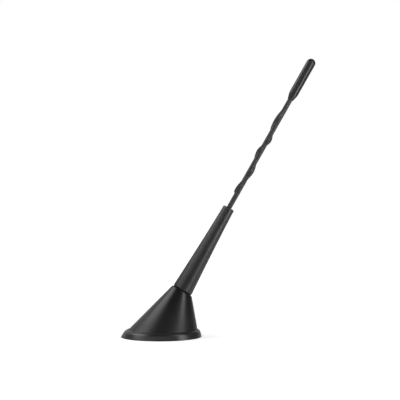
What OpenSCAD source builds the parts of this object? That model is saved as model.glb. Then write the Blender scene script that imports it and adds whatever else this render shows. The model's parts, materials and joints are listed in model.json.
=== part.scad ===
// Roof antenna for digital radio: a leaning cone housing on a rubber gasket,
// with a leaning mast that screws into the seat on top of the cone.
// The origin is the roof bolt's axis at the roof surface. The mast leans towards +X.

/* [Housing] */
// Length of the housing at its foot, along the lean
foot_len = 65; // [62:0.5:68]
// Wall of the housing
housing_wall = 2.2; // [1.8:0.1:2.4]
// Distance of the mast seat's centre from the roof bolt
seat_x = 18.3; // [17:0.1:20]
// Height of the mast seat's centre above the roof
seat_z = 40; // [38:0.5:44]
// Diameter of the mast seat on top of the cone
seat_d = 19.5; // [19:0.1:21]
// Edge break round the mast seat
seat_edge = 0.5; // [0.3:0.1:0.8]
// Lean of the mast from upright
mast_lean = 29.8; // [27:0.1:32]
// Diameter of the boss inside the cone that holds the mast socket
neck_d = 15; // [14:0.5:16]
// Length of that boss below the mast seat
neck_len = 14; // [12:0.5:15]
// Thickness of the webs that brace the boss
web_t = 1.4; // [1:0.1:2]
// Diameter of the screw bosses
boss_d = 5.6; // [5:0.1:6]
// Distance of the screw bosses' axes from the housing's outside, at the top of their holes
boss_set_in = 3.6; // [3.2:0.1:4]
// Turn of the screw bosses from the line of the lean, seen from above
boss_turn = 58; // [56:1:60]

/* [Gasket] */
// Length of the gasket where it meets the roof
gasket_len = 71; // [69:0.5:74]
// Width of the gasket where it meets the roof
gasket_wid = 66; // [65.5:0.5:70]
// Height of the gasket's skirt
gasket_h = 6.4; // [5.6:0.1:7.6]
// Thickness of the gasket's floor under the housing
gasket_floor = 2.4; // [2:0.1:2.8]
// Slope of the skirt on the side away from the mast's lean
skirt_slope_back = 57; // [54:1:62]
// Slope of the skirt on the side that the mast leans over
skirt_slope_front = 76; // [70:1:80]
// Depth of the rounding along the skirt's top edge
skirt_round = 2; // [1.4:0.1:2.2]
// Height of that rounding
skirt_round_h = 2.6; // [1.6:0.1:3]
// Width of the sealing grooves in the gasket's underside
groove_w = 1.4; // [1:0.1:2]
// Depth of those grooves
groove_deep = 0.8; // [0.4:0.1:1]

/* [Base plate] */
// Thickness of the base plate
plate_t = 3; // [2.6:0.1:3.4]
// Length of the raised island that meets the roof
island_len = 47; // [45:0.5:49]
// Width of that island
island_wid = 23; // [21:0.5:25]
// Diameter of the roof bolt's tapped hole
bolt_hole_d = 5; // [4.2:0.1:5.6]
// Depth of the tapped hole
bolt_hole_deep = 7.6; // [6:0.2:8]
// Diameter of the boss round the tapped hole
bolt_boss_d = 13; // [11:0.5:14]
// Height of the posts that carry the board, above the plate
post_h = 4; // [3.6:0.1:5]
// Diameter of those posts
post_d = 4.4; // [4:0.1:5]
// Diameter of the plate screws
plate_screw_d = 2.9; // [2.5:0.1:3.2]
// Length of the plate screws
plate_screw_len = 9.5; // [8:0.5:10]

/* [Board] */
// Thickness of the circuit board
board_t = 1.6; // [1:0.1:1.8]
// Clear room between the board's round ends and the housing's wall
board_end_gap = 1.6; // [1:0.1:2.4]
// Clear room between the board's straight sides and the screw bosses
board_side_gap = 0.7; // [0.5:0.1:1.5]
// Diameter of the board screws
board_screw_d = 2.2; // [1.8:0.1:2.4]
// Diameter of the board screws' heads
board_head_d = 3.8; // [3.4:0.1:4.2]
// Height of those heads
board_head_h = 1.2; // [0.8:0.1:1.6]
// Length of the shield can
can_len = 16; // [14:0.5:16.5]
// Clear room between the shield can and the board screws
can_gap = 0.5; // [0.3:0.1:1.2]
// Height of the shield can
can_h = 4.6; // [3.5:0.1:5]

/* [Sockets] */
// Distance of the coaxial socket from the roof bolt
coax_x = 14; // [13.5:0.1:15]
// Outside diameter of the coaxial socket's shell
coax_d = 8; // [7:0.1:8.4]
// Wall of that shell
coax_wall = 0.8; // [0.5:0.1:1]
// Diameter of the well round the coaxial socket
coax_well_d = 12.4; // [11.5:0.1:13]
// Diameter of the centre contact
coax_pin_d = 1; // [0.8:0.1:1.3]
// Distance of the power terminal from the roof bolt
power_x = 14; // [13.5:0.1:15]
// Length of the power terminal's shroud
power_len = 9; // [8:0.1:9.4]
// Width of the power terminal's shroud
power_wid = 7; // [6:0.1:7.4]
// Wall of that shroud
power_wall = 0.9; // [0.7:0.1:1.2]
// Width of the power blade
blade_w = 2.8; // [2:0.1:4]
// Thickness of the power blade
blade_t = 0.8; // [0.5:0.1:1]
// Clear room round the shrouds in their wells
well_gap = 1.7; // [1.5:0.1:2]

/* [Mast foot] */
// Outside diameter of the threaded mast socket
socket_d = 11; // [10:0.2:12]
// Length of the mast socket below the mast seat
socket_len = 16; // [15.5:0.1:17]
// Diameter of the mast's screw
thread_d = 5.9; // [4.9:0.1:6.4]
// Length of screw below the mast seat
thread_len = 8; // [6:0.5:10]
// Running clearance of the screw in its socket, on the radius
thread_gap = 0.05; // [0.02:0.01:0.1]
// Thickness of the rubber washer under the mast
seal_t = 1; // [0.7:0.1:1.3]
// Diameter of the rubber washer
seal_d = 17.4; // [16.6:0.2:18]
// Length of the ferrule
ferrule_len = 82.8; // [76:0.5:90]
// Diameter at the ferrule's foot
ferrule_foot_d = 18.2; // [17.4:0.1:19]
// Diameter at the ferrule's top
ferrule_top_d = 10.3; // [9.4:0.1:11]
// How much the ferrule's taper is bowed inwards
ferrule_bow = 1.25; // [1:0.05:1.5]
// Rounding of the ferrule's edges
ferrule_round = 0.7; // [0.4:0.1:1.2]
// Diameter of the chamber in the ferrule
chamber_d = 10; // [9:0.1:10.4]
// Height of the collar on the mast's screw
collar_h = 6; // [5:0.2:8]
// Length of the coil former
former_len = 21.5; // [18:0.5:24]
// Diameter of the coil former's tube
former_d = 6.4; // [5.6:0.1:6.8]
// Diameter of the matching coil's wire
coil_wire_d = 0.6; // [0.4:0.1:0.8]
// Rise of the matching coil in one turn
coil_pitch = 1.7; // [1.4:0.1:2]
// Outside diameter of the rod socket
rod_socket_d = 6; // [5.4:0.1:6.4]
// Length of the rod socket
rod_socket_len = 13.5; // [12:0.5:16]

/* [Whip] */
// Diameter of the fibreglass rod
rod_d = 2.2; // [1.8:0.05:2.3]
// Diameter of the radiator wire wound on the rod
radiator_d = 0.4; // [0.3:0.05:0.45]
// Rise of the radiator wire in one turn
radiator_pitch = 6; // [5:0.5:8]
// Outside diameter of the jacket
jacket_d = 4.4; // [4:0.05:4.6]
// How far the helical rib stands out from the jacket
rib_h = 1.4; // [1:0.05:1.7]
// Half the angle that the rib's foot takes up
rib_spread = 62; // [50:1:70]
// Height of the tip cap's lower edge above the mast seat
cap_start = 194.6; // [192:0.5:200]
// Length of the tip cap
cap_len = 41.8; // [38:0.2:46]
// Diameter of the tip cap
cap_d = 8.2; // [7.6:0.1:8.8]
// Length of the taper at the cap's lower edge
cap_taper = 5.8; // [4.5:0.1:7]

/* [Hidden] */
$fn = 72;

// Small allowances: a cutter's overrun, a fixed fit, a wound wire's room, and a loose fit
over = 0.5;
fit = 0.02;
wire_gap = 0.05;
loose = 0.15;

// Places along the height of the base
foot_z = gasket_floor;
plate_top = foot_z + plate_t;
board_z = plate_top + post_h;
board_top = board_z + board_t;

// The housing is a round cone, leaning, cut off level at its foot and square to the mast at its
// seat. Its back and front edges run from the foot to the seat, and meet at the apex.
seat_back = [seat_x - seat_d / 2 * cos(mast_lean), seat_z + seat_d / 2 * sin(mast_lean)];
seat_front = [seat_x + seat_d / 2 * cos(mast_lean), seat_z - seat_d / 2 * sin(mast_lean)];
back_lean = atan((seat_back.x + foot_len / 2) / (seat_back.y - foot_z));
front_lean = atan((seat_front.x - foot_len / 2) / (seat_front.y - foot_z));
cone_lean = (back_lean + front_lean) / 2;
cone_angle = (back_lean - front_lean) / 2;
apex_h = foot_len / (tan(back_lean) - tan(front_lean));
apex_x = apex_h * tan(back_lean) - foot_len / 2;

// Level slice of that cone at a height, its surface drawn in by an inset: how far the slice lies
// below its apex, its half-length, the middle of that length, and its width as a share of its length
function slice_drop(inset, z) = foot_z + apex_h - inset / sin(cone_angle) * cos(cone_lean) - z;
function slice_half(inset, z) = slice_drop(inset, z) * (tan(back_lean) - tan(front_lean)) / 2;
function slice_mid(inset, z) =
  apex_x - inset / sin(cone_angle) * sin(cone_lean)
  - slice_drop(inset, z) * (tan(back_lean) + tan(front_lean)) / 2;
slice_share = sqrt(1 - pow(sin(cone_lean) / cos(cone_angle), 2));

// Half-length of the gasket's skirt at a height, and the middle of that length
function skirt_half(z) = gasket_len / 2 - z * (1 / tan(skirt_slope_back) + 1 / tan(skirt_slope_front)) / 2;
function skirt_mid(z) = z * (1 / tan(skirt_slope_back) - 1 / tan(skirt_slope_front)) / 2;
skirt_sides = 72;
skirt_steps = 4;

// Housing's wall under the mast seat, how far up the holes in its screw bosses end, and the bosses,
// which follow the housing's outside
roof_t = 3;
boss_hole_end = foot_z + plate_screw_len + 1;
boss_mid = slice_mid(0, boss_hole_end);
boss_x = (slice_half(0, boss_hole_end) - boss_set_in) * cos(boss_turn);
boss_y = (slice_half(0, boss_hole_end) * slice_share - boss_set_in) * sin(boss_turn);
boss_places = [for (sx = [-1, 1], sy = [-1, 1]) [boss_mid + sx * boss_x, sy * boss_y]];

// Strip that brings the mast's signal down to the board
strip_t = 0.5;
strip_w = 6.4;
strip_reach = 4.6;
strip_nose = 3.6;
strip_tail_w = 2;
strip_x = seat_x - socket_len * sin(mast_lean) - strip_reach * cos(mast_lean) - strip_t * sin(mast_lean);
strip_z = seat_z - socket_len * cos(mast_lean) + strip_reach * sin(mast_lean) - strip_t * cos(mast_lean);

// The board fills the housing at its height: middle, diameter of its round ends, and its width
// between the screw bosses
board_mid = slice_mid(housing_wall, board_top);
board_d = 2 * (slice_half(housing_wall, board_top) - board_end_gap);
board_wid = 2 * (boss_y - boss_d / 2 - board_side_gap);

// Board posts, set in from the board's round ends
post_set_in = 5.5;
post_turn = 40;
post_x = (board_d / 2 - post_set_in) * cos(post_turn);
post_y = (board_d / 2 - post_set_in) * sin(post_turn);
post_places = [for (sx = [-1, 1], sy = [-1, 1]) [board_mid + sx * post_x, sy * post_y]];
board_screw_bite = 3.2;
board_screw_len = board_t + board_screw_bite;

// Places of the parts on the board: the shield can between the screws and beside the strip, the
// supply parts beside the power terminal, and a capacitor near each straight side
can_to_strip = 2.6;
can_wid = 2 * (post_y - board_head_d / 2 - can_gap);
can_mid = strip_x - can_to_strip - can_len / 2;
feed_reach = 4;
feed_x = power_x + feed_reach;
feed_y = 5;
capacitor_reach = 2.4;
capacitor_set_in = 4;
capacitor_x = strip_x + capacitor_reach;
capacitor_y = board_wid / 2 - capacitor_set_in;

// Foot of the coaxial socket above the roof, its flange, and its depth down to the insulator
coax_foot = 1.2;
coax_flange = 1.2;
coax_deep = 3.6;
contact_set_back = 0.8;
contact_tail = 0.7;

// Foot of the power terminal's shroud above the roof, and the shroud's depth
shroud_foot = 1.2;
shroud_deep = 5;

// Heights along the mast, above its seat. The jacket and then the rod end inside the cap.
jacket_in_cap = 13;
rod_past_jacket = 15.2;
rod_socket_gap = 2;
rod_socket_floor = 2.5;
ferrule_top = seal_t + ferrule_len;
former_start = seal_t + collar_h;
former_end = former_start + former_len;
rod_socket_top = former_end + rod_socket_len;
jacket_start = rod_socket_top + rod_socket_gap;
jacket_top = cap_start + jacket_in_cap;
rod_start = former_end + rod_socket_floor;
rod_top = jacket_top + rod_past_jacket;
spigot_d = 4;
spigot_len = 4;
flange_t = 1.2;
radiator_r = rod_d / 2 + radiator_d / 2 + wire_gap;
jacket_bore = 2 * (radiator_r + radiator_d / 2 + wire_gap);

// Where the helical rib passes the sides of the whip: height above the seat, half turns
rib_marks = [[96.8, -0.25], [102.6, 0], [122.6, 1], [141.4, 2], [154.2, 3], [172.8, 4], [183.6, 4.6]];
rib_start = rib_marks[0][0];
rib_end = rib_marks[len(rib_marks) - 1][0];
rib_run_out = 2.8;
rib_sink = 0.15;
rib_sides = 24;
rib_step = 1.4;

// Puts a piece on the mast's axis at a height above the mast seat
module on_mast(z = 0) {
  translate([seat_x, 0, seat_z]) rotate([0, mast_lean, 0]) translate([0, 0, z]) children();
}

// Round bar between two heights
module bar(z0, z1, d) {
  translate([0, 0, z0]) cylinder(h = z1 - z0, d = d);
}

// Level slice of the housing's cone between two heights, its surface drawn in by an inset
module cone_slice(inset, z0, z1) {
  reach = 2 * foot_len;
  stub = 1;
  intersection() {
    translate([apex_x, 0, foot_z + apex_h])
      rotate([0, cone_lean, 0])
        translate([0, 0, -inset / sin(cone_angle) - reach])
          cylinder(h = reach - stub, r1 = reach * tan(cone_angle), r2 = stub * tan(cone_angle));
    translate([-reach, -reach, z0]) cube([2 * reach, 2 * reach, z1 - z0]);
  }
}

// Everything above a plane square to the mast
module above_seat(z) {
  reach = foot_len;
  on_mast(z) translate([-reach, -reach, 0]) cube([2 * reach, 2 * reach, reach]);
}

// Bar with two round ends
module stadium(len, wid, h) {
  for (side = [-1, 1]) translate([side * (len - wid) / 2, 0, 0]) cylinder(h = h, d = wid);
  translate([-(len - wid) / 2, -wid / 2, 0]) cube([len - wid, wid, h]);
}

// Plate with rounded corners, centred on its place
module rounded_plate(len, wid, h, r) {
  linear_extrude(h) {
    square([len - 2 * r, wid], center = true);
    square([len, wid - 2 * r], center = true);
    for (sx = [-1, 1], sy = [-1, 1]) translate([sx * (len / 2 - r), sy * (wid / 2 - r)]) circle(r);
  }
}

// Quarter circle of points about a corner, from one angle to another
function quarter(x, y, r, from, to) = [
  for (i = [0:4])
    let (a = from + (to - from) * i / 4)
    [x + r * cos(a), y + r * sin(a)]
];

// Points of one round section of a wire that winds about the axis
function wire_ring(coil_r, wire_r, pitch, z, turn, sides) =
  let (
    along = [-sin(turn) * 2 * PI * coil_r, cos(turn) * 2 * PI * coil_r, pitch],
    outward = [cos(turn), sin(turn), 0],
    upward = cross(along / norm(along), outward)
  )
  [
    for (k = [0:sides - 1])
      let (a = 360 * k / sides)
      coil_r * outward + [0, 0, z] + wire_r * (cos(a) * outward + sin(a) * upward)
  ];

// Faces of a tube of equal rings, closed at both ends
function tube_faces(rings, sides) = concat(
  [[for (k = [0:sides - 1]) k]],
  [for (i = [0:rings - 2], k = [0:sides - 1], half = [0, 1])
    let (n = (k + 1) % sides, low = i * sides, high = low + sides)
    half == 0 ? [low + k, high + k, high + n] : [low + k, high + n, low + n]],
  [[for (k = [0:sides - 1]) rings * sides - 1 - k]]
);

// Wire wound at an even rise between two heights
module wound_wire(coil_r, wire_d, pitch, z0, z1, per_turn, sides) {
  steps = floor((z1 - z0) / pitch * per_turn);
  points = [
    for (i = [0:steps])
      let (turns = i / per_turn)
      each wire_ring(coil_r, wire_d / 2, pitch, z0 + pitch * turns, 360 * turns, sides)
  ];
  polyhedron(points, tube_faces(steps + 1, sides));
}

// The rib's form is a ring at each height, a little smaller than the jacket and raised where the
// rib passes. The share runs it out into the jacket at both ends.
function rib_share(z) = max(0, min(1, (z - rib_start) / rib_run_out, (rib_end - z) / rib_run_out));
function rib_turn(z) = 180 + 180 * lookup(z, rib_marks);
function rib_bump(a) =
  let (off = abs((a + 540) % 360 - 180))
  off < rib_spread ? pow(cos(90 * off / rib_spread), 2) : 0;
function rib_ring(z) = [
  for (k = [0:rib_sides - 1])
    let (
      a = 360 * k / rib_sides,
      r = jacket_d / 2 - rib_sink + (rib_h + rib_sink) * rib_share(z) * rib_bump(a - rib_turn(z) + 3600)
    )
    [r * cos(a), r * sin(a), z]
];

module tip_cap() {
  r = cap_d / 2;
  lip_r = jacket_d / 2 + 0.35;
  lip_round = 0.3;
  shoulder = 0.5;
  end = cap_start + cap_len;
  steps = 10;
  outline = concat(
    [
      [0, cap_start],
      [lip_r, cap_start],
      [lip_r + lip_round / 2, cap_start + lip_round],
      [r - shoulder, cap_start + cap_taper - 2.4 * shoulder],
      [r - shoulder / 4, cap_start + cap_taper]
    ],
    [for (i = [0:steps]) [r * cos(90 * i / steps), end - r + r * sin(90 * i / steps)]]
  );
  color([0.09, 0.09, 0.09]) on_mast()
    difference() {
      rotate_extrude() polygon(outline);
      bar(cap_start - over, jacket_top + fit, jacket_d + 2 * fit);
      bar(cap_start, rod_top + fit, rod_d + 2 * fit);
    }
}

module whip_jacket() {
  rings = floor((rib_end - rib_start) / rib_step) + 1;
  step = (rib_end - rib_start) / (rings - 1);
  points = [for (i = [0:rings - 1]) each rib_ring(rib_start + i * step)];
  color([0.13, 0.13, 0.13]) on_mast()
    difference() {
      union() {
        bar(jacket_start, jacket_top, jacket_d);
        polyhedron(points, tube_faces(rings, rib_sides));
      }
      bar(jacket_start - over, jacket_top + over, jacket_bore);
    }
}

module whip_rod() {
  color([0.85, 0.82, 0.7]) on_mast() bar(rod_start, rod_top, rod_d);
}

module radiator_wire() {
  color([0.72, 0.45, 0.2]) on_mast()
    wound_wire(radiator_r, radiator_d, radiator_pitch, rod_socket_top + radiator_d, cap_start + over, 9, 5);
}

module mast_ferrule() {
  steps = 18;
  foot_r = ferrule_foot_d / 2;
  top_r = ferrule_top_d / 2;
  crown = 0.2;
  outline = concat(
    [[0, seal_t]],
    quarter(foot_r - ferrule_round, seal_t + ferrule_round, ferrule_round, -90, 0),
    [
      for (i = [1:steps - 1])
        let (share = i / steps)
        [top_r + (foot_r - top_r) * pow(1 - share, ferrule_bow), seal_t + ferrule_len * share]
    ],
    quarter(top_r - ferrule_round, ferrule_top - ferrule_round, ferrule_round, 0, 90),
    [[0, ferrule_top + crown]]
  );
  color([0.2, 0.2, 0.2]) on_mast()
    difference() {
      rotate_extrude() polygon(outline);
      bar(seal_t - over, former_end + fit, chamber_d);
      bar(seal_t, rod_socket_top + fit, rod_socket_d + 2 * fit);
      bar(seal_t, ferrule_top + over, jacket_d + 2 * fit);
    }
}

module rod_socket() {
  color([0.78, 0.64, 0.32]) on_mast()
    difference() {
      union() {
        bar(former_end, rod_socket_top, rod_socket_d);
        bar(former_end - spigot_len, former_end, spigot_d);
      }
      bar(rod_start, rod_socket_top + over, rod_d + 2 * fit);
    }
}

module coil_former() {
  color([0.9, 0.9, 0.86]) on_mast()
    difference() {
      union() {
        bar(former_start, former_end, former_d);
        for (z = [former_start, former_end - flange_t]) bar(z, z + flange_t, chamber_d - 2 * loose);
      }
      bar(former_start - over, former_start + spigot_len + fit, spigot_d + 2 * fit);
      bar(former_end - spigot_len - fit, former_end + over, spigot_d + 2 * fit);
    }
}

module matching_coil() {
  clear = flange_t + coil_wire_d;
  coil_r = (former_d + coil_wire_d) / 2 + 2 * wire_gap;
  color([0.72, 0.45, 0.2]) on_mast()
    wound_wire(coil_r, coil_wire_d, coil_pitch, former_start + clear, former_end - clear, 12, 5);
}

module mast_stud() {
  tip = 0.8;
  color([0.74, 0.74, 0.76]) on_mast() {
    translate([0, 0, -thread_len]) cylinder(h = tip, d1 = thread_d - 2 * tip, d2 = thread_d);
    bar(tip - thread_len, seal_t, thread_d);
    bar(seal_t, former_start, chamber_d - 2 * fit);
    bar(former_start, former_start + spigot_len, spigot_d);
  }
}

module mast_seal() {
  bore_gap = 0.35;
  color([0.05, 0.05, 0.05]) on_mast()
    difference() {
      bar(0, seal_t, seal_d);
      bar(-over, seal_t + over, thread_d + 2 * bore_gap);
    }
}

// Hollow of the housing, with the bosses and webs left standing
module housing_hollow() {
  difference() {
    cone_slice(housing_wall, foot_z - over, seat_back.y);
    above_seat(-roof_t);
    on_mast() {
      bar(-neck_len, 0, neck_d);
      translate([-foot_len / 2, -web_t / 2, -neck_len]) cube([foot_len, web_t, neck_len]);
      translate([-web_t / 2, -foot_len / 2, -neck_len]) cube([web_t, foot_len, neck_len]);
    }
    for (p = boss_places) translate([p.x, p.y]) bar(plate_top, seat_z, boss_d);
  }
}

module base_housing() {
  edge_r = seat_d / 2 - seat_edge;
  cut = 3;
  color([0.11, 0.11, 0.11])
    difference() {
      cone_slice(0, foot_z, seat_back.y + over);
      above_seat(0);
      on_mast()
        rotate_extrude()
          polygon([[edge_r, over], [edge_r, 0], [edge_r + cut, -cut], [edge_r + cut, over]]);
      housing_hollow();
      on_mast() bar(-neck_len - over, over, socket_d + 2 * fit);
      for (p = boss_places)
        translate([p.x, p.y]) bar(plate_top - over, boss_hole_end, plate_screw_d + 2 * fit);
    }
}

module mast_socket() {
  rivet_len = 1.1;
  run_out = 2;
  color([0.78, 0.64, 0.32]) on_mast()
    difference() {
      union() {
        bar(-socket_len, 0, socket_d);
        bar(-socket_len - rivet_len, -socket_len, spigot_d);
      }
      bar(-thread_len - run_out, over, thread_d + 2 * thread_gap);
    }
}

// Spring strip from the mast socket down to the board
module contact_strip() {
  lug_len = strip_reach + strip_nose;
  drop = strip_z - board_top + strip_t * (1 - sin(mast_lean)) / cos(mast_lean);
  tail_len = board_t + 2 * strip_t;
  color([0.8, 0.68, 0.38])
    difference() {
      union() {
        on_mast(-socket_len - strip_t)
          translate([-strip_reach, -strip_w / 2, 0]) cube([lug_len, strip_w, strip_t]);
        translate([strip_x, -strip_w / 2, board_top]) cube([strip_t, strip_w, drop]);
        translate([strip_x, -strip_tail_w / 2, board_z - strip_t]) cube([strip_t, strip_tail_w, tail_len]);
      }
      on_mast() bar(-socket_len - spigot_len, over - socket_len, spigot_d + 2 * fit);
    }
}

// Slot through the board for a flat tail, with loose room round it
module board_slot(len, wid) {
  translate([-loose, -wid / 2 - loose, board_z - over])
    cube([len + 2 * loose, wid + 2 * loose, board_t + 2 * over]);
}

module amplifier_board() {
  color([0.05, 0.3, 0.16])
    difference() {
      intersection() {
        translate([board_mid, 0]) bar(board_z, board_top, board_d);
        translate([board_mid - board_d / 2, -board_wid / 2, board_z]) cube([board_d, board_wid, board_t]);
      }
      for (p = post_places)
        translate([p.x, p.y]) bar(board_z - over, board_top + over, board_screw_d + 2 * loose);
      translate([-coax_x, 0]) bar(board_z - over, board_top + over, coax_pin_d + 2 * loose);
      translate([power_x - blade_w / 2, 0]) board_slot(blade_w, blade_t);
      translate([strip_x, 0]) board_slot(strip_t, strip_tail_w);
    }
}

module shield_can() {
  can_t = 0.4;
  corner = 1;
  vent_d = 1.4;
  vent_step = [4, 5];
  inside = [can_len - 2 * can_t, can_wid - 2 * can_t, can_h - can_t];
  color([0.8, 0.8, 0.8])
    translate([can_mid, 0, board_top])
      difference() {
        rounded_plate(can_len, can_wid, can_h, corner);
        translate([0, 0, -over]) rounded_plate(inside.x, inside.y, inside.z + over, corner - can_t);
        for (x = [-1:1], y = [-1:1])
          translate([x * vent_step.x, y * vent_step.y]) bar(0, can_h + over, vent_d);
      }
}

module amplifier_chip() {
  size = 5;
  h = 1;
  color([0.08, 0.08, 0.09]) translate([can_mid + size / 2, -size / 2, board_top]) cube([size, size, h]);
}

module voltage_regulator() {
  case = [3.5, 6.5, 1.7];
  leg = [1.5, 0.7, 0.3];
  tab_wid = 3;
  leg_step = 2.3;
  tuck = 0.05;
  color([0.08, 0.08, 0.09])
    translate([feed_x, feed_y, board_top]) {
      translate([-case.x / 2, -case.y / 2, 0]) cube(case);
      for (i = [-1:1]) translate([case.x / 2 - tuck, i * leg_step - leg.y / 2, 0]) cube(leg);
      translate([tuck - case.x / 2 - leg.x, -tab_wid / 2, 0]) cube([leg.x, tab_wid, leg.z]);
    }
}

module filter_coil() {
  rim_r = 3;
  waist_r = 2;
  h = 4.2;
  rim_t = 0.8;
  slope = 0.6;
  half = [[rim_r, 0], [rim_r, rim_t], [waist_r, rim_t + slope]];
  upper = [for (i = [2, 1, 0]) [half[i].x, h - half[i].y]];
  color([0.2, 0.2, 0.2])
    translate([feed_x, -feed_y, board_top])
      rotate_extrude() polygon(concat([[0, 0]], half, upper, [[0, h]]));
}

module board_capacitors() {
  foot = 4.2;
  foot_t = 0.8;
  can_d = 4;
  h = 5;
  color([0.75, 0.75, 0.78])
    for (side = [-1, 1]) translate([capacitor_x, side * capacitor_y, board_top]) {
      translate([-foot / 2, -foot / 2, 0]) cube([foot, foot, foot_t]);
      bar(0, h, can_d);
    }
}

module board_screws() {
  color([0.7, 0.7, 0.72])
    for (p = post_places) translate([p.x, p.y, board_top]) {
      bar(0, board_head_h, board_head_d);
      bar(-board_screw_len, 0, board_screw_d);
    }
}

module coax_socket() {
  flange = coax_d + 1.2;
  corner = 1;
  color([0.82, 0.72, 0.42])
    translate([-coax_x, 0, 0])
      difference() {
        union() {
          bar(coax_foot, board_z, coax_d);
          translate([0, 0, board_z - coax_flange]) rounded_plate(flange, flange, coax_flange, corner);
        }
        bar(0, board_z + over, coax_d - 2 * coax_wall);
      }
}

module coax_insulator() {
  color([0.94, 0.94, 0.92])
    translate([-coax_x, 0, 0])
      difference() {
        bar(coax_foot + coax_deep, board_z, coax_d - 2 * coax_wall - 2 * fit);
        bar(0, board_z + over, coax_pin_d + 2 * fit);
      }
}

module coax_pin() {
  color([0.85, 0.72, 0.35])
    translate([-coax_x, 0, 0]) bar(coax_foot + contact_set_back, board_top + contact_tail, coax_pin_d);
}

module power_shroud() {
  inside = [power_len - 2 * power_wall, power_wid - 2 * power_wall];
  slot = [blade_w + 2 * fit, blade_t + 2 * fit, board_z + over];
  corner = 0.8;
  inner_corner = 0.5;
  color([0.16, 0.16, 0.17])
    translate([power_x, 0, 0])
      difference() {
        translate([0, 0, shroud_foot]) rounded_plate(power_len, power_wid, board_z - shroud_foot, corner);
        rounded_plate(inside.x, inside.y, shroud_foot + shroud_deep, inner_corner);
        translate([-slot.x / 2, -slot.y / 2, 0]) cube(slot);
      }
}

module power_blade() {
  foot = shroud_foot + contact_set_back;
  color([0.8, 0.8, 0.82])
    translate([power_x - blade_w / 2, -blade_t / 2, foot])
      cube([blade_w, blade_t, board_top + contact_tail - foot]);
}

// Screw with a flat countersunk head, standing on its head
module countersunk(d, len, gap = 0) {
  cylinder(h = d / 2 + gap, d1 = 2 * d + 2 * gap, d2 = d + 2 * gap);
  cylinder(h = len, d = d + 2 * gap);
}

module base_plate() {
  bolt_boss_top = bolt_hole_deep + 1.2;
  well = [power_len + 2 * well_gap, power_wid + 2 * well_gap];
  well_corner = 1.5;
  screw_tip_room = 0.3;
  screw_end = board_top - board_screw_len - screw_tip_room;
  color([0.5, 0.5, 0.52])
    difference() {
      union() {
        cone_slice(housing_wall + loose, foot_z, plate_top);
        stadium(island_len, island_wid, foot_z + over);
        bar(0, bolt_boss_top, bolt_boss_d);
        for (p = post_places) translate([p.x, p.y]) bar(foot_z + over, board_z, post_d);
      }
      bar(-over, bolt_hole_deep, bolt_hole_d);
      translate([-coax_x, 0]) bar(-over, plate_top + over, coax_well_d);
      translate([power_x, 0, -over]) rounded_plate(well.x, well.y, plate_top + 2 * over, well_corner);
      for (p = boss_places) translate([p.x, p.y, foot_z]) countersunk(plate_screw_d, plate_t + over, loose);
      for (p = post_places) translate([p.x, p.y]) bar(screw_end, board_z + over, board_screw_d + 2 * fit);
    }
}

module plate_screws() {
  color([0.7, 0.7, 0.72])
    for (p = boss_places) translate([p.x, p.y, foot_z]) countersunk(plate_screw_d, plate_screw_len);
}

// Oval ring of points round the skirt at a height, drawn in by an inset
function skirt_ring(z, inset) = [
  for (k = [0:skirt_sides - 1])
    let (a = 360 * k / skirt_sides, half = skirt_half(z) - inset)
    [skirt_mid(z) + half * cos(a), half * gasket_wid / gasket_len * sin(a), z]
];

// Skirt of the gasket, from the roof up to its rounded top edge
module gasket_skirt() {
  edge_z = gasket_h - skirt_round_h;
  turns = [for (i = [0:skirt_steps]) 90 * i / skirt_steps];
  points = concat(
    skirt_ring(0, 0),
    [for (a = turns) each skirt_ring(edge_z + skirt_round_h * sin(a), skirt_round * (1 - cos(a)))]
  );
  polyhedron(points, tube_faces(skirt_steps + 2, skirt_sides));
}

// Round groove cut up into the gasket's underside
module seal_groove(r) {
  rotate_extrude() translate([r - groove_w / 2, -over]) square([groove_w, groove_deep + over]);
}

module gasket() {
  groove_set_in = 2.6;
  outer_groove = gasket_wid / 2 - groove_set_in;
  opening = [island_len + 2 * loose, island_wid + 2 * loose];
  color([0.08, 0.08, 0.08])
    difference() {
      gasket_skirt();
      cone_slice(-loose, gasket_floor, gasket_h + over);
      translate([0, 0, -over]) stadium(opening.x, opening.y, gasket_floor + 2 * over);
      for (i = [0, 1]) seal_groove(outer_groove - 2 * i * groove_w);
    }
}

tip_cap();
whip_jacket();
whip_rod();
radiator_wire();
mast_ferrule();
rod_socket();
coil_former();
matching_coil();
mast_stud();
mast_seal();
base_housing();
mast_socket();
contact_strip();
amplifier_board();
shield_can();
amplifier_chip();
voltage_regulator();
filter_coil();
board_capacitors();
board_screws();
coax_socket();
coax_insulator();
coax_pin();
power_shroud();
power_blade();
base_plate();
plate_screws();
gasket();
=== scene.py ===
import json
from math import atan2, cos, hypot, pi, radians, sin, sqrt, tan
import bmesh
import bpy
from mathutils import Matrix, Vector


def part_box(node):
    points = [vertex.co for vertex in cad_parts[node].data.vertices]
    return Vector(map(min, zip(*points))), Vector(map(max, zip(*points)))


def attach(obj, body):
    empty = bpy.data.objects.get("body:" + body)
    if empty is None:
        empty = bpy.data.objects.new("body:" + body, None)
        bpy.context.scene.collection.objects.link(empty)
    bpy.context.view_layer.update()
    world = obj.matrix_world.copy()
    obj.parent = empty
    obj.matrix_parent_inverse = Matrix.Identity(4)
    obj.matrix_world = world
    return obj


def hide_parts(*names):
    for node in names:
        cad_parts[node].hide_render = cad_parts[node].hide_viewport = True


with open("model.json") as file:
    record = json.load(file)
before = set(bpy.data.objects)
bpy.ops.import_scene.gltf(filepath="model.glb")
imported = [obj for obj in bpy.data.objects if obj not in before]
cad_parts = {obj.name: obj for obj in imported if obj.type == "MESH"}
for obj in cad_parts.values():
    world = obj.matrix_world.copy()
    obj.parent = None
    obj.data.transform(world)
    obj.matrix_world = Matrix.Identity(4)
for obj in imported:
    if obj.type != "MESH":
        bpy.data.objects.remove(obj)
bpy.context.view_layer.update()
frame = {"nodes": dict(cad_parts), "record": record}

mm = 0.001

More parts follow.
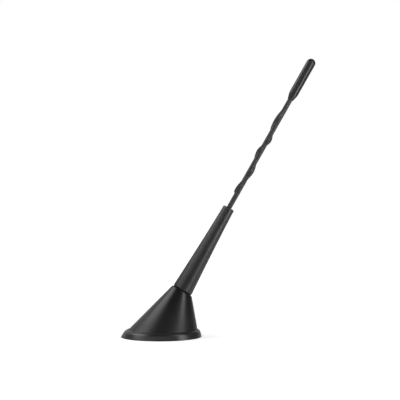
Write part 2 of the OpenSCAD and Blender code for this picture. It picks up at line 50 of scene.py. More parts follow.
# The mast turns about this axis, which starts at the middle of the seat on the housing
unscrew = [joint for joint in frame["record"]["behaviour"]["joints"] if joint["type"] == "hinge"][0]
mastSeat = Vector(unscrew["pos_m"])
mastAxis = Vector(unscrew["axis"]).normalized()
mastLean = atan2(mastAxis.x, mastAxis.z)
mastPlace = Matrix.Translation(mastSeat) @ Matrix.Rotation(mastLean, 4, "Y")
standing = Matrix.Identity(4)


def mastSpan(node):  # lowest and highest place of a CAD node along the mast, and its largest radius, in mm
    spots = [mastPlace.inverted() @ vert.co / mm for vert in frame["nodes"][node].data.vertices]
    heights = [spot.z for spot in spots]
    return min(heights), max(heights), max(hypot(spot.x, spot.y) for spot in spots)


def nodeBox(node):  # lowest and highest corner of a CAD node, in mm
    return [Vector(corner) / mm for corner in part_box(node)]


# ---- camera, floor and light

view = {
    "azimuth": 7,  # degrees that the camera stands to the left of straight on
    "distance": 0.94,
    "aim": (0.0342, 0, 0.1197),
    "lens": 96.1,
    "sensor": 36,
}
forward = Vector((sin(radians(view["azimuth"])), cos(radians(view["azimuth"])), 0))
toRight = Vector((forward.y, -forward.x, 0))

# Azimuth and elevation as the camera sees them, from its own side of the object
lamps = {
    "softboxLeft": {"azimuth": -99, "elevation": 46, "away": 1.3, "wide": 1.0, "high": 0.6, "level": 2.8},
    "fillLeft": {"azimuth": -55, "elevation": 21, "away": 1.2, "wide": 1.2, "high": 0.8, "level": 1.0},
    "fillFront": {"azimuth": 0, "elevation": 33, "away": 1.2, "wide": 1.2, "high": 0.25, "level": 1.0},
    "stripRight": {"azimuth": 58.5, "lift": 0.14, "away": 0.29, "wide": 0.09, "high": 0.5, "level": 4.0},
    "softboxTop": {"azimuth": 180, "elevation": 75, "away": 1.4, "wide": 1.2, "high": 0.8, "level": 0.25},
}
room = {
    "ceiling": 0.03, "front": 0.09, "back": 0.48,
    "floor": 0.8, "glow": 0.2, "nearWhite": 0.63, "farWhite": 1.0,
    # Painted sheen: a painted reflection of the strip lamp, the floor's extra glow toward it for mirrored rays
    "paintedSheen": 1.5, "paintedSheenAzimuth": 50, "paintedSheenHalf": 12,
    "floorHalf": 4, "nearFloor": 0.2,
}


def makeCamera():
    data = bpy.data.cameras.new("camera")
    data.lens = view["lens"]
    data.sensor_width = view["sensor"]
    data.clip_end = 50
    camera = bpy.data.objects.new("camera", data)
    camera.location = Vector(view["aim"]) - view["distance"] * forward
    camera.rotation_euler = forward.to_track_quat("-Z", "Y").to_euler()
    bpy.context.scene.collection.objects.link(camera)
    bpy.context.scene.camera = camera


def makeLamp(name, spec):
    turn, rise = radians(spec["azimuth"]), radians(spec.get("elevation", 0))
    away = cos(rise) * (sin(turn) * toRight - cos(turn) * forward) + Vector((0, 0, sin(rise)))
    data = bpy.data.lights.new(name, "AREA")
    data.shape = "RECTANGLE"
    data.size = spec["wide"]
    data.size_y = spec["high"]
    data.energy = spec["level"] * pi * spec["wide"] * spec["high"]
    lamp = bpy.data.objects.new(name, data)
    lamp.location = Vector(view["aim"]) + spec["away"] * away + Vector((0, 0, spec.get("lift", 0)))
    lamp.rotation_euler = (-away).to_track_quat("-Z", "Y").to_euler()
    lamp.visible_camera = False
    bpy.context.scene.collection.objects.link(lamp)


# ---- shader maths

class Wire:  # a node's output, which takes part in sums as a number does
    def __init__(self, shade, socket):
        self.shade = shade
        self.socket = socket

    def sum(self, operation, first, second):
        return self.shade.node("Math", {"operation": operation}, {0: first, 1: second})

    def __add__(self, other):
        return self.sum("ADD", self, other)

    def __radd__(self, other):
        return self.sum("ADD", other, self)

    def __sub__(self, other):
        return self.sum("SUBTRACT", self, other)

    def __rsub__(self, other):
        return self.sum("SUBTRACT", other, self)

    def __mul__(self, other):
        return self.sum("MULTIPLY", self, other)

    def __rmul__(self, other):
        return self.sum("MULTIPLY", other, self)

    def __truediv__(self, other):
        return self.sum("DIVIDE", self, other)

    def __pow__(self, other):
        return self.sum("POWER", self, other)


def pick(sockets, key):
    if isinstance(key, int):
        return sockets[key]
    return [socket for socket in sockets if socket.name == key and socket.enabled][0]


class Shade:  # a material, or the world, with one method that makes its nodes
    def __init__(self, name, owner=None):
        self.owner = owner or bpy.data.materials.new(name)
        self.owner.use_nodes = True
        self.tree = self.owner.node_tree
        self.tree.nodes.clear()

    def node(self, kind, settings=None, values=None, output=0):
        node = self.tree.nodes.new("ShaderNode" + kind)
        for key, value in (settings or {}).items():
            if key == "stops":
                self.setStops(node.color_ramp, value)
            else:
                setattr(node, key, value)
        for key, value in (values or {}).items():
            self.feed(pick(node.inputs, key), value)
        return Wire(self, pick(node.outputs, output))

    def setStops(self, ramp, stops):
        while len(ramp.elements) < len(stops):
            ramp.elements.new(1)
        for element, (place, grey) in zip(ramp.elements, stops):
            element.position = place
            element.color = (grey, grey, grey, 1)

    def feed(self, socket, value):
        if isinstance(value, Wire):
            self.tree.links.new(value.socket, socket)
        elif socket.type == "RGBA":
            socket.default_value = (*value, 1)
        else:
            socket.default_value = value

    def grain(self, size, detail=3, onMast=False):  # noise with grains of that size in mm, from 0 to 1
        sizes = size if isinstance(size, tuple) else (size, size, size)
        values = {"Vector": self.node("TexCoord", output="Object"), "Scale": tuple(s * mm for s in sizes)}
        if onMast:
            values["Location"] = mastSeat
            values["Rotation"] = (0, mastLean, 0)
        spots = self.node("Mapping", {"vector_type": "TEXTURE"}, values)
        return self.node("TexNoise", {}, {"Vector": spots, "Scale": 1.0, "Detail": detail}, "Fac")

    def rise(self, start, end):  # from 0 to 1 between two heights in mm
        height = self.node("SeparateXYZ", {}, {0: self.node("TexCoord", output="Object")}, "Z")
        limits = {"Value": height, "From Min": start * mm, "From Max": end * mm}
        return self.node("MapRange", {"interpolation_type": "SMOOTHSTEP"}, limits)

    def ramp(self, wire, stops):
        return self.node("ValToRGB", {"stops": stops}, {"Fac": wire})

    def mix(self, share, first, second):
        values = {"Factor": share, "A": first, "B": second}
        return self.node("Mix", {"data_type": "RGBA"}, values, "Result")

    def bump(self, height, depth, strength=1.0):  # depth in mm
        return self.node("Bump", {}, {"Height": height, "Distance": depth * mm, "Strength": strength})

    def finish(self, values):
        shader = self.node("BsdfPrincipled", {}, values)
        self.tree.links.new(shader.socket, self.tree.nodes.new("ShaderNodeOutputMaterial").inputs[0])
        return self.owner


def makeRoom():
    world = bpy.data.worlds.new("studio")
    bpy.context.scene.world = world
    shade = Shade("studio", world)
    way = shade.node("TexCoord", output="Generated")
    spread = {"interpolation_type": "SMOOTHSTEP"}
    rise = shade.node("SeparateXYZ", {}, {0: way}, "Z")
    limits = {"Value": rise, "From Min": 0.5, "From Max": 0.78, "To Min": room["front"], "To Max": room["ceiling"]}
    low = shade.node("MapRange", spread, limits)
    behind = shade.node("SeparateXYZ", {}, {0: way}, "Y")
    limits = {"Value": behind, "From Min": 0.45, "From Max": 0.85, "To Min": 0.0, "To Max": room["back"]}
    level = low + shade.node("MapRange", spread, limits)
    seen = shade.node("LightPath", output="Is Camera Ray")
    light = shade.node("Background", {}, {"Strength": seen + (1 - seen) * level, "Color": (1, 1, 1)})
    shade.tree.links.new(light.socket, shade.tree.nodes.new("ShaderNodeOutputWorld").inputs[0])

    floor = Shade("floor")
    seen = floor.node("LightPath", output="Is Camera Ray")
    mirrored = floor.node("LightPath", output="Is Glossy Ray")
    through = floor.node("LightPath", output="Is Transmission Ray")
    pale = (room["floor"],) * 3
    fibre = floor.grain(40) * 0.02 + 0.98
    spot = floor.node("TexCoord", output="Object")
    away = floor.node("VectorMath", {"operation": "LENGTH"}, {0: spot}, "Value")
    limits = {"Value": away, "From Min": room["nearFloor"], "From Max": 3 * room["nearFloor"]}
    limits.update({"To Min": room["nearWhite"], "To Max": room["farWhite"]})
    white = floor.node("MapRange", spread, limits)  # the floor goes over into the white behind it
    # Painted sheen: the floor glows more where it faces toward the strip lamp, as a painted reflection of that lamp
    turn = radians(room["paintedSheenAzimuth"])
    across = floor.node("VectorMath", {"operation": "NORMALIZE"}, {0: spot})
    facing = {"operation": "DOT_PRODUCT"}
    paintedSheenFacing = floor.node("VectorMath", facing, {0: across, 1: sin(turn) * toRight - cos(turn) * forward}, "Value")
    limits = {"Value": paintedSheenFacing, "From Min": cos(radians(room["paintedSheenHalf"])), "From Max": 1.0}
    limits.update({"To Min": room["glow"], "To Max": room["paintedSheen"]})
    glow = floor.node("MapRange", spread, limits)  # painted sheen: the floor glows brighter toward the strip lamp, seen by mirrored rays only
    material = floor.finish({
        "Base Color": floor.mix(fibre, (0, 0, 0), pale),
        "Roughness": 0.9,
        "Emission Color": (1, 1, 1),
        "Emission Strength": seen * white + (mirrored + through) * glow,
    })
    bm = bmesh.new()
    bmesh.ops.create_grid(bm, x_segments=1, y_segments=1, size=room["floorHalf"])
    mesh = bpy.data.meshes.new("floor")
    bm.to_mesh(mesh)
    bm.free()
    mesh.materials.append(material)
    obj = bpy.data.objects.new("floor", mesh)
    bpy.context.scene.collection.objects.link(obj)


# ---- finishes

def mouldedFinish(name, look):  # plastic or rubber: a fine grain, cloudy gloss, and where the look gives one a foot that is more matt
    shade = Shade(name)
    along = look.get("onMast", False)
    clouds = shade.grain(look["cloudSize"], 2, along)
    fine = shade.grain(look["grainSize"], 3, along)
    coarse = shade.grain(tuple(3.1 * s for s in look["grainSize"]), 2, along)
    texture = fine * 0.7 + coarse * 0.3
    colour = shade.mix(shade.ramp(clouds, [(0.3, 0), (0.7, 1)]), look["dark"], look["light"])
    roughness = look["roughness"] + (clouds - 0.5) * look["glossSpread"] + (fine - 0.5) * 0.08
    if "footMatt" in look:
        roughness = roughness + shade.rise(look["footTop"], look["footLow"]) * look["footMatt"]
    return shade.finish({
        "Base Color": shade.mix(texture * look["speckle"], colour, look["light"]),
        "Roughness": roughness,
        "IOR": look.get("ior", 1.5),
        "Normal": shade.bump(texture, look["depth"]),
    })


def metalFinish(name, look):  # brushed, turned or cast metal: streaks of its grain, and dull patches
    shade = Shade(name)
    along = look.get("onMast", False)
    patches = shade.grain(look["patchSize"], 3, along)
    streaks = shade.grain(look["grainSize"], 2, along)
    colour = shade.mix(shade.ramp(patches, [(0.35, 0), (0.65, 1)]), look["dark"], look["light"])
    return shade.finish({
        "Base Color": colour,
        "Metallic": look.get("metallic", 1.0),
        "Roughness": look["roughness"] + (streaks - 0.5) * look["glossSpread"],
        "Normal": shade.bump(streaks, look["depth"]),
    })


mouldedLooks = {
    "satinPlastic": {
        "dark": (0.006, 0.006, 0.0062), "light": (0.01, 0.01, 0.0103), "speckle": 0.25, "roughness": 0.3,
        "glossSpread": 0.08, "cloudSize": 14, "grainSize": (1.0, 1.0, 1.0), "depth": 0.03,
        "footTop": 38, "footLow": 5, "footMatt": 0.11},
    "grainedPlastic": {
        "dark": (0.022, 0.022, 0.023), "light": (0.04, 0.04, 0.041), "speckle": 0.7, "roughness": 0.31,
        "glossSpread": 0.08, "cloudSize": 9, "grainSize": (1.1, 1.1, 1.3), "depth": 0.13, "onMast": True},
    "jacketPlastic": {
        "dark": (0.028, 0.028, 0.029), "light": (0.042, 0.042, 0.043), "speckle": 0.1, "roughness": 0.48,
        "glossSpread": 0.08, "cloudSize": 12, "grainSize": (0.4, 0.4, 1.6), "depth": 0.006, "onMast": True},
    "capRubber": {
        "dark": (0.011, 0.011, 0.0115), "light": (0.017, 0.017, 0.0175), "speckle": 0.25, "roughness": 0.3,
        "glossSpread": 0.1, "cloudSize": 8, "grainSize": (0.35, 0.35, 0.7), "depth": 0.015, "onMast": True},
    "gasketRubber": {
        "dark": (0.01, 0.01, 0.01), "light": (0.018, 0.018, 0.018), "speckle": 0.3, "roughness": 0.33,
        "ior": 1.6, "glossSpread": 0.12, "cloudSize": 18, "grainSize": (0.6, 0.6, 0.6), "depth": 0.035},
    # Black rubber of the seal, its colour darkened further as painted shade in the seam between ferrule and housing
    "sealRubberAndPaintedSeamShade": {
        "dark": (0.004, 0.004, 0.004), "light": (0.007, 0.007, 0.007), "speckle": 0.2, "roughness": 0.8,
        "ior": 1.35, "glossSpread": 0.1, "cloudSize": 5, "grainSize": (0.3, 0.3, 0.3), "depth": 0.02, "onMast": True},
    "shroudPlastic": {
        "dark": (0.022, 0.022, 0.024), "light": (0.034, 0.034, 0.036), "speckle": 0.2, "roughness": 0.45,
        "glossSpread": 0.1, "cloudSize": 5, "grainSize": (0.3, 0.3, 0.3), "depth": 0.01},
    "whitePlastic": {
        "dark": (0.68, 0.68, 0.64), "light": (0.78, 0.78, 0.75), "speckle": 0.2, "roughness": 0.4,
        "glossSpread": 0.08, "cloudSize": 6, "grainSize": (0.3, 0.3, 0.3), "depth": 0.008},
    "fibreglass": {
        "dark": (0.5, 0.47, 0.33), "light": (0.66, 0.62, 0.46), "speckle": 0.5, "roughness": 0.35,
        "glossSpread": 0.15, "cloudSize": 6, "grainSize": (0.12, 0.12, 8.0), "depth": 0.01, "onMast": True},
    "greenLaminate": {
        "dark": (0.008, 0.07, 0.032), "light": (0.014, 0.12, 0.055), "speckle": 0.35, "roughness": 0.32,
        "glossSpread": 0.1, "cloudSize": 7, "grainSize": (0.5, 0.5, 0.5), "depth": 0.008},
    "chipEpoxy": {
        "dark": (0.014, 0.014, 0.015), "light": (0.022, 0.022, 0.024), "speckle": 0.3, "roughness": 0.6,
        "glossSpread": 0.08, "cloudSize": 3, "grainSize": (0.15, 0.15, 0.15), "depth": 0.006},
    "ferrite": {
        "dark": (0.03, 0.03, 0.032), "light": (0.05, 0.05, 0.052), "speckle": 0.4, "roughness": 0.65,
        "glossSpread": 0.08, "cloudSize": 3, "grainSize": (0.2, 0.2, 0.2), "depth": 0.012},
}
metalLooks = {
    "dieCastZinc": {
        "dark": (0.3, 0.3, 0.31), "light": (0.42, 0.42, 0.43), "roughness": 0.52, "glossSpread": 0.2,
        "patchSize": 6, "grainSize": (0.6, 0.6, 0.6), "depth": 0.03},
    "zincSteel": {
        "dark": (0.5, 0.5, 0.53), "light": (0.64, 0.64, 0.66), "roughness": 0.3, "glossSpread": 0.16,
        "patchSize": 3, "grainSize": (0.5, 0.5, 0.08), "depth": 0.006},
    "turnedBrass": {
        "dark": (0.56, 0.38, 0.13), "light": (0.72, 0.52, 0.22), "roughness": 0.3, "glossSpread": 0.16,
        "patchSize": 4, "grainSize": (1.5, 1.5, 0.09), "depth": 0.008, "onMast": True},
    "platedBrass": {
        "dark": (0.66, 0.5, 0.2), "light": (0.8, 0.64, 0.32), "roughness": 0.24, "glossSpread": 0.1,
        "patchSize": 3, "grainSize": (0.8, 0.8, 0.08), "depth": 0.004},
    "springBronze": {
        "dark": (0.5, 0.33, 0.14), "light": (0.68, 0.48, 0.24), "roughness": 0.34, "glossSpread": 0.12,
        "patchSize": 4, "grainSize": (0.1, 1.5, 1.5), "depth": 0.005},
    "tinPlate": {
        "dark": (0.56, 0.56, 0.57), "light": (0.7, 0.7, 0.7), "roughness": 0.34, "glossSpread": 0.14,
        "patchSize": 4, "grainSize": (2.0, 0.12, 2.0), "depth": 0.005},
    "canAluminium": {
        "dark": (0.66, 0.66, 0.67), "light": (0.78, 0.78, 0.79), "roughness": 0.28, "glossSpread": 0.1,
        "patchSize": 3, "grainSize": (0.6, 0.6, 0.1), "depth": 0.004},
    "copperWire": {
        "dark": (0.42, 0.15, 0.05), "light": (0.62, 0.28, 0.12), "roughness": 0.3, "glossSpread": 0.12,
        "patchSize": 3, "grainSize": (0.3, 0.3, 0.3), "depth": 0.004, "onMast": True},
}

# ---- making pieces

def ringEdges(verts):
    return list({edge for vert in verts for edge in vert.link_edges if edge.other_vert(vert) in verts})


def startRing(bm, sides, place):  # a ring of vertices, each kept with its angle
    made = bmesh.ops.create_circle(bm, cap_ends=False, segments=sides, radius=1)["verts"]
    ring = {vert: atan2(vert.co.y, vert.co.x) for vert in made}
    for vert, angle in ring.items():
        vert.co = place(angle)
    return ring


def growRing(bm, ring, place):  # extrudes a ring and sets each new vertex by its angle
    grown = bmesh.ops.extrude_edge_only(bm, edges=ringEdges(ring))["geom"]
    fresh = {}
    for vert in grown:
        if isinstance(vert, bmesh.types.BMVert):
            below = [edge.other_vert(vert) for edge in vert.link_edges if edge.other_vert(vert) in ring][0]
            fresh[vert] = ring[below]
            vert.co = place(ring[below])
    return fresh


def spun(section, sides=112):  # a section of (radius, height) spun about the axis, closed unless it ends there
    bm = bmesh.new()
    first = bmesh.ops.create_vert(bm, co=(section[0][0], 0, section[0][1]))["vert"][0]
    tip = first
    for radius, height in section[1:]:
        tip = [g for g in bmesh.ops.extrude_vert_indiv(bm, verts=[tip])["verts"]][0]
        tip.co = (radius, 0, height)
    if section[0][0] > 0:
        bm.edges.new((tip, first))
    outline = bm.verts[:] + bm.edges[:]
    bmesh.ops.spin(bm, geom=outline, cent=(0, 0, 0), axis=(0, 0, 1), angle=2 * pi, steps=sides, use_merge=True)
    bmesh.ops.remove_doubles(bm, verts=bm.verts[:], dist=0.0005)
    return bm


def roundRing(bm, radius, height, offset, segments=4):  # rounds the edge that runs round at that radius and height
    def here(vert):
        return abs(hypot(vert.co.x, vert.co.y) - radius) < 0.01 and abs(vert.co.z - height) < 0.01
    edges = [edge for edge in bm.edges if here(edge.verts[0]) and here(edge.verts[1])]
    bmesh.ops.bevel(
        bm, geom=edges, offset=offset, segments=segments, profile=0.5, affect="EDGES", material=-1)


def arc(middle, radius, start, end, steps):  # points (radius, height) round a corner, degrees
    turns = [radians(start + (end - start) * i / steps) for i in range(steps + 1)]
    return [(middle[0] + radius * cos(turn), middle[1] + radius * sin(turn)) for turn in turns]


def makePiece(name, bm, finish, body, node, place=standing, sharp=35):
    bmesh.ops.remove_doubles(bm, verts=bm.verts[:], dist=0.0005)
    bmesh.ops.recalc_face_normals(bm, faces=bm.faces[:])
    bmesh.ops.scale(bm, vec=(mm, mm, mm), verts=bm.verts[:])
    bmesh.ops.transform(bm, matrix=place, verts=bm.verts[:])
    mesh = bpy.data.meshes.new(name)
    bm.edges.index_update()
    openEdges = [edge.index for edge in bm.edges if edge.is_boundary]
    bm.to_mesh(mesh)
    bm.free()
    mesh.shade_smooth()
    mesh.set_sharp_from_angle(angle=radians(sharp))
    for edge in openEdges:
        mesh.edges[edge].use_edge_sharp = True
    mesh.materials.append(finishes[finish])
    piece = bpy.data.objects.new(name, mesh)
    bpy.context.scene.collection.objects.link(piece)
    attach(piece, body)
    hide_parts(node)
    print("made", name, len(mesh.polygons), "faces")
    return piece


# ---- base: the housing's cone and the gasket, sizes in mm

housing = {
    "wall": 2.2,
    "seatWide": 19.5,
    "seatEdge": 0.5,
    "socketGap": 0.02,
    "neckLen": 14,
    "edgeRing": 0.5,
    "rings": 5,
    "sides": 180,
}
footLow, footHigh = nodeBox("base_housing")
footZ = footLow.z
footHalf = -footLow.x
seat = mastSeat / mm
seatReach = housing["seatWide"] / 2 * Vector((cos(mastLean), 0, -sin(mastLean)))
backTop, frontTop = seat - seatReach, seat + seatReach
backSlope = (backTop.x + footHalf) / (backTop.z - footZ)
frontSlope = (frontTop.x - footHalf) / (frontTop.z - footZ)
apexZ = footZ + 2 * footHalf / (backSlope - frontSlope)
apexX = backSlope * (apexZ - footZ) - footHalf
coneLean = (atan2(backSlope, 1) + atan2(frontSlope, 1)) / 2
coneHalfAngle = (atan2(backSlope, 1) - atan2(frontSlope, 1)) / 2
ovalShare = sqrt(1 - (sin(coneLean) / cos(coneHalfAngle)) ** 2)  # width to length of a level slice


def coneOval(z, gap):  # level slice of the cone, a little larger, by angle
    back = apexX - backSlope * (apexZ - z)
    front = apexX - frontSlope * (apexZ - z)
    middle, half = (back + front) / 2, (front - back) / 2
    return lambda angle: (middle + (half + gap) * cos(angle), (half * ovalShare + gap) * sin(angle), z)


def makeHousing():
    sides = housing["sides"]
    reach = 2 * apexZ
    bm = bmesh.new()
    lower = Matrix.Translation((apexX, 0, apexZ)) @ Matrix.Rotation(coneLean, 4, "Y")
    bmesh.ops.create_cone(
        bm, cap_ends=False, segments=sides, radius1=reach * tan(coneHalfAngle), radius2=0.01, depth=reach,
        matrix=lower @ Matrix.Translation((0, 0, -reach / 2)))
    for spot, way in ((Vector((0, 0, footZ)), Vector((0, 0, -1))), (seat, mastAxis)):
        everything = bm.verts[:] + bm.edges[:] + bm.faces[:]
        bmesh.ops.bisect_plane(bm, geom=everything, dist=1e-5, plane_co=spot, plane_no=way, clear_outer=True)
    top = [vert for vert in bm.verts if abs((vert.co - seat).dot(mastAxis)) < 1e-3]
    bmesh.ops.holes_fill(bm, edges=ringEdges(set(top)), sides=0)
    roof = max(bm.faces, key=lambda face: len(face.verts))
    rim = list(roof.edges)
    bmesh.ops.bevel(
        bm, geom=rim, offset=housing["seatEdge"], segments=4, profile=0.5, affect="EDGES", material=-1)
    near = housing["edgeRing"]
    under = seat - (housing["seatEdge"] + near) * mastAxis
    levels = [footZ + near + (under.z - footZ - near) * i / housing["rings"] for i in range(housing["rings"])]
    cuts = [(Vector((0, 0, level)), Vector((0, 0, 1))) for level in levels]
    for spot, way in cuts + [(under, mastAxis)]:
        everything = bm.verts[:] + bm.edges[:] + bm.faces[:]
        bmesh.ops.bisect_plane(bm, geom=everything, dist=1e-5, plane_co=spot, plane_no=way)
    roof = max(bm.faces, key=lambda face: len(face.verts))
    socketR = mastSpan("mast_socket")[2] + housing["socketGap"]
    flatR = max((vert.co - seat).length for vert in roof.verts)
    bmesh.ops.inset_region(bm, faces=[roof], thickness=flatR - socketR, use_even_offset=True)
    roof = max(bm.faces, key=lambda face: len(face.verts))
    for vert in roof.verts:
        vert.co = seat + socketR * (vert.co - seat).normalized()
    ring = set(roof.verts)
    bmesh.ops.delete(bm, geom=[roof], context="FACES_ONLY")
    grown = bmesh.ops.extrude_edge_only(bm, edges=ringEdges(ring))["geom"]
    sunk = [vert for vert in grown if isinstance(vert, bmesh.types.BMVert)]
    bmesh.ops.translate(bm, vec=-housing["neckLen"] * mastAxis, verts=sunk)
    bmesh.ops.recalc_face_normals(bm, faces=bm.faces[:])
    return bm


gasket = {
    "backSlope": 57, "frontSlope": 76,  # degrees of the skirt's face, at its two ends
    "topRound": 2, "topRoundHigh": 2.6,
    "topSteps": 9,
    "lipDip": 0.9,
    "lipGap": 0.15,
    "floor": 2.4,
    "islandLen": 47.3, "islandWid": 23.3,
    "grooveOut": (29.7, 31.1), "grooveIn": (26.9, 28.3), "grooveDeep": 0.8,
    "footRound": 0.35,
    "sides": 160,
}


def makeGasket():
    low, high = nodeBox("gasket")
    top, length, width = high.z, high.x - low.x, high.y - low.y
    lean = (1 / tan(radians(gasket["backSlope"])), 1 / tan(radians(gasket["frontSlope"])))
    floor, lip = gasket["floor"], gasket["lipGap"]

    def skirt(z, inset):
        half = length / 2 - z * (lean[0] + lean[1]) / 2 - inset
        middle = z * (lean[0] - lean[1]) / 2
        return lambda angle: (middle + half * cos(angle), half * width / length * sin(angle), z)

    def circle(radius, z):
        return lambda angle: (radius * cos(angle), radius * sin(angle), z)

    def island(z):  # outline of the opening for the plate's island, met along each angle
        end = gasket["islandWid"] / 2
        straight = gasket["islandLen"] / 2 - end

        def meet(angle):
            across, along = abs(sin(angle)), abs(cos(angle))
            if along * end <= straight * across:
                reach = end / across
            else:
                reach = straight * along + sqrt(max(0, end ** 2 - (straight * across) ** 2))
            return reach * cos(angle), reach * sin(angle), z
        return meet

    edge = top - gasket["topRoundHigh"]
    foot = gasket["footRound"]
    turns = [radians(90 * i / gasket["topSteps"]) for i in range(gasket["topSteps"] + 1)]
    rings = [skirt(0, foot), skirt(foot * 0.3, foot * 0.3), skirt(foot, 0.02)]
    rings += [skirt(edge * share, 0) for share in (0.3, 0.6, 0.85)]
    deep, high = gasket["topRound"], gasket["topRoundHigh"]
    rings += [skirt(edge + high * sin(turn), deep * (1 - cos(turn))) for turn in turns]
    rings += [coneOval(top - gasket["lipDip"] * 0.3, lip + 0.12), coneOval(top - gasket["lipDip"], lip)]
    rings += [coneOval(floor, lip), island(floor), island(0)]
    for inner, outer in (gasket["grooveIn"], gasket["grooveOut"]):
        cut = gasket["grooveDeep"]
        rings += [circle(inner, 0), circle(inner, cut), circle(outer, cut), circle(outer, 0)]
    rings += [skirt(0, foot)]
    bm = bmesh.new()
    ring = startRing(bm, gasket["sides"], rings[0])
    for place in rings[1:]:
        ring = growRing(bm, ring, place)
    return bm


# ---- mast: heights in mm above the seat

ferrule = {
    "topR": 5.15, "bow": 1.25,
    "footRound": 0.7, "topRound": 0.7,
    "crown": 0.2,
    "boreR": 2.22, "chamberR": 5,
    "taperSteps": 28,
}


def makeFerrule():
    start, top, footR = mastSpan("mast_ferrule")
    chamberTop = mastSpan("coil_former")[1]
    shoulder = top - ferrule["crown"]
    socketTop, socketR = mastSpan("rod_socket")[1:]
    steps = ferrule["taperSteps"]
    section = [(ferrule["chamberR"], start), (footR, start)]
    for i in range(1, steps + 1):
        share = i / steps
        radius = ferrule["topR"] + (footR - ferrule["topR"]) * (1 - share) ** ferrule["bow"]
        section.append((radius, start + (shoulder - start) * share))
    section += [(ferrule["boreR"], top), (ferrule["boreR"], socketTop), (socketR, socketTop)]
    section += [(socketR, chamberTop), (ferrule["chamberR"], chamberTop)]
    bm = spun(section)
    roundRing(bm, footR, start, ferrule["footRound"], 5)
    roundRing(bm, ferrule["topR"], shoulder, ferrule["topRound"], 5)
    return bm


whip = {
    "boreR": 1.6,
    "jacketR": 2.2,
    "ribHigh": 1.4,
    "ribSpread": 62,  # degrees to each side that the rib takes up
    "ribMarks": [(96.8, -0.25), (102.6, 0), (122.6, 1), (141.4, 2), (154.2, 3), (164.3, 3.69), (183.6, 4.39)],
    "runOut": 2.8,
    "ringStep": 0.7,
    "sides": 56,
}


def ribTurn(z):  # where the rib stands at a height; half turns from the mast's left side
    marks = whip["ribMarks"]
    for (low, turnLow), (high, turnHigh) in zip(marks, marks[1:]):
        if z <= high:
            return pi + pi * (turnLow + (turnHigh - turnLow) * (z - low) / (high - low))
    return pi + pi * marks[-1][1]


def makeWhip():
    start, top, _ = mastSpan("whip_jacket")
    ribStart, ribEnd = whip["ribMarks"][0][0], whip["ribMarks"][-1][0]
    spread = radians(whip["ribSpread"])

    def jacket(z):
        share = max(0, min(1, (z - ribStart) / whip["runOut"], (ribEnd - z) / whip["runOut"]))
        share = share * share * (3 - 2 * share)
        turn = ribTurn(z)

        def place(angle):
            off = abs((angle - turn + pi) % (2 * pi) - pi)
            bump = cos(pi / 2 * off / spread) ** 2 if off < spread else 0
            radius = whip["jacketR"] + whip["ribHigh"] * share * bump
            return radius * cos(angle), radius * sin(angle), z
        return place

    def bore(z):
        return lambda angle: (whip["boreR"] * cos(angle), whip["boreR"] * sin(angle), z)

    count = int((ribEnd - ribStart) / whip["ringStep"])
    heights = [ribStart + (ribEnd - ribStart) * i / count for i in range(count + 1)]
    bm = bmesh.new()
    first = startRing(bm, whip["sides"], jacket(start))
    ring = first
    for z in heights + [top]:
        ring = growRing(bm, ring, jacket(z))
    for place in (bore(top), bore(start), jacket(start)):
        ring = growRing(bm, ring, place)
    return bm


tip = {
    "lipR": 2.55, "taper": 5.8,
    "shoulderRound": 1.4, "lipRound": 0.25,
    "domeSteps": 14,
    "boreDeep": 13,
}


def makeTipCap():
    start, end, radius = mastSpan("tip_cap")
    jacketR = whip["jacketR"] + 0.02
    section = [(0, start + tip["boreDeep"]), (jacketR, start + tip["boreDeep"]), (jacketR, start)]
    section += [(tip["lipR"], start), (radius, start + tip["taper"])]
    section += arc((0, end - radius), radius, 0, 90, tip["domeSteps"])
    section[-1] = (0, end)
    bm = spun(section, 88)
    roundRing(bm, radius, start + tip["taper"], tip["shoulderRound"], 5)
    roundRing(bm, tip["lipR"], start, tip["lipRound"], 3)
    return bm


washer = {"boreR": 3.3, "edge": 0.1}


def makeWasher():
    low, high, radius = mastSpan("mast_seal")
    bore = washer["boreR"]
    bm = spun([(bore, low), (radius, low), (radius, high), (bore, high)])
    for height in (low, high):
        roundRing(bm, radius, height, washer["edge"], 3)
    return bm


screw = {
    "coreR": 2.5, "crestR": 2.95,
    "pitch": 1.0,
    "tip": 0.8,
    "collarR": 4.98, "collarLow": 1.0, "collarHigh": 7.0,
    "spigotR": 2,
    "stepsPerTurn": 32,
}


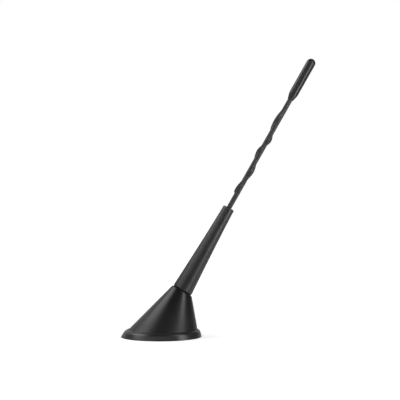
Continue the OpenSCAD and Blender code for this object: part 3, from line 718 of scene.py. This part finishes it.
def makeScrew():
    low, high, _ = mastSpan("mast_stud")
    core, crest, pitch = screw["coreR"], screw["crestR"], screw["pitch"]
    section = [(0, low), (core - 0.5, low), (core, low + 0.5), (core, screw["collarLow"] - 0.4)]
    section += [(crest - 0.1, screw["collarLow"]), (screw["collarR"], screw["collarLow"])]
    section += [(screw["collarR"], screw["collarHigh"]), (screw["spigotR"], screw["collarHigh"])]
    section += [(screw["spigotR"], high), (0, high)]
    bm = spun(section, 64)
    roundRing(bm, screw["collarR"], screw["collarHigh"], 0.3, 3)
    ridge = bmesh.ops.create_circle(bm, cap_ends=True, segments=4, radius=0.5)
    corners = [(core - 0.2, -0.44), (crest, -0.06), (crest, 0.06), (core - 0.2, 0.44)]
    for vert, (radius, rise) in zip(ridge["verts"], corners):
        vert.co = (radius, 0, low + screw["tip"] + rise)
    turns = int((screw["collarLow"] - 0.5 - low - screw["tip"]) / pitch)
    faces = list({face for vert in ridge["verts"] for face in vert.link_faces})
    bmesh.ops.spin(
        bm, geom=faces, cent=(0, 0, 0), axis=(0, 0, 1), angle=2 * pi * turns,
        dvec=(0, 0, pitch / screw["stepsPerTurn"]), steps=turns * screw["stepsPerTurn"])
    return bm


nodeFinishes = {
    "dieCastZinc": ["base_plate"],
    "zincSteel": ["plate_screws", "board_screws"],
    "turnedBrass": ["mast_socket", "rod_socket"],
    "platedBrass": ["coax_socket", "coax_pin"],
    "springBronze": ["contact_strip"],
    "tinPlate": ["shield_can", "power_blade"],
    "canAluminium": ["board_capacitors"],
    "copperWire": ["radiator_wire", "matching_coil"],
    "fibreglass": ["whip_rod"],
    "whitePlastic": ["coil_former", "coax_insulator"],
    "greenLaminate": ["amplifier_board"],
    "chipEpoxy": ["amplifier_chip", "voltage_regulator"],
    "ferrite": ["filter_coil"],
    "shroudPlastic": ["power_shroud"],
}

print("frame loaded, the mast leans", round(mastLean * 180 / pi, 1), "degrees")
makeCamera()
for name, spec in lamps.items():
    makeLamp(name, spec)
makeRoom()
bpy.context.scene.view_settings.view_transform = "Standard"
print("studio ready")

finishes = {name: mouldedFinish(name, look) for name, look in mouldedLooks.items()}
finishes.update({name: metalFinish(name, look) for name, look in metalLooks.items()})
print(len(finishes), "finishes ready")

shell = makePiece("housing", makeHousing(), "satinPlastic", "base", "base_housing")
wall = shell.modifiers.new("wall", "SOLIDIFY")
wall.thickness = housing["wall"] * mm
wall.offset = -1
makePiece("gasketSkirt", makeGasket(), "gasketRubber", "base", "gasket")
makePiece("ferrule", makeFerrule(), "grainedPlastic", "mast", "mast_ferrule", mastPlace)
makePiece("whipJacket", makeWhip(), "jacketPlastic", "mast", "whip_jacket", mastPlace)
makePiece("tipCap", makeTipCap(), "capRubber", "mast", "tip_cap", mastPlace)
# The washer's finish is black rubber darkened further, as painted shade in the seam under the ferrule
makePiece("washer", makeWasher(), "sealRubberAndPaintedSeamShade", "seal", "mast_seal", mastPlace)
makePiece("mastScrew", makeScrew(), "zincSteel", "mast", "mast_stud", mastPlace)

for finish, nodes in nodeFinishes.items():
    for node in nodes:
        for holder in frame["nodes"][node].material_slots:
            holder.material = finishes[finish]
print("CAD nodes finished")
